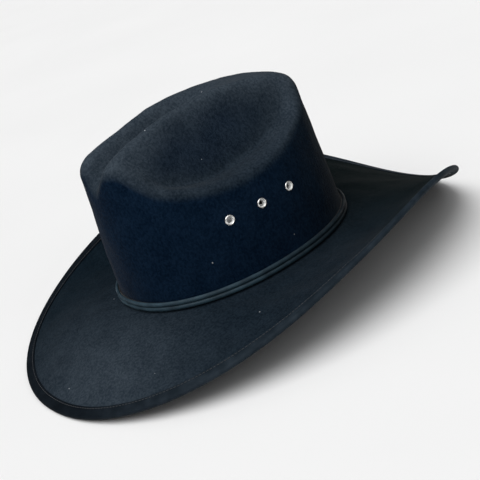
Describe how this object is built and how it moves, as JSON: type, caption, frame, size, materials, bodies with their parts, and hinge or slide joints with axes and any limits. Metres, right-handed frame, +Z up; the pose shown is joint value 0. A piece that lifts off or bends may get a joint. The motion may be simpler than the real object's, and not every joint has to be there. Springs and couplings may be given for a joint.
{
  "type": "cowboy hat",
  "caption": "Felt western hat with a creased cattleman crown, a wired and bound brim that dips front and back, a hatband of rolls, metal eyelets and a sweatband.",
  "frame": {"origin": "on the surface that the hat stands on, under the middle of its box", "axes": "+Z up, -Y towards the hat's front, +X towards the wearer's left"},
  "size_m": [0.3294, 0.4094, 0.1717],
  "materials": {
    "felt": "matte wool-like felt, fine short nap",
    "binding": "woven ribbon, matte with a faint sheen",
    "wire": "drawn steel wire",
    "splice": "crimped brass tube",
    "eyelet": "polished nickel plate",
    "washer": "nickel plate",
    "sweatband": "woven sweatband tape",
    "reed": "piping",
    "bow": "satin ribbon",
    "tab": "blank woven tab",
    "band_roll": "smooth imitation leather, slight gloss",
    "band_backing": "cotton tape",
    "band_keeper": "imitation leather"
  },
  "bodies": {
    "hat": {"felt_body": "felt", "brim_binding": "binding", "brim_wire": "wire", "wire_splice_sleeve": "splice", "eyelet_left_front": "eyelet", "eyelet_left_middle": "eyelet", "eyelet_left_rear": "eyelet", "eyelet_right_front": "eyelet", "eyelet_right_middle": "eyelet", "eyelet_right_rear": "eyelet", "washer_left_front": "washer", "washer_left_middle": "washer", "washer_left_rear": "washer", "washer_right_front": "washer", "washer_right_middle": "washer", "washer_right_rear": "washer", "sweatband": "sweatband", "sweatband_reed": "reed", "sweatband_bow": "bow", "size_tab": "tab"},
    "hatband": {"hatband_upper_roll": "band_roll", "hatband_lower_roll": "band_roll", "hatband_backing": "band_backing", "hatband_keeper": "band_keeper"}
  },
  "joints": [
    {"name": "hatband_lift", "type": "slide", "parent": "hat", "child": "hatband", "axis": [0, 0, 1], "range_m": [0, 0.14]}
  ]
}
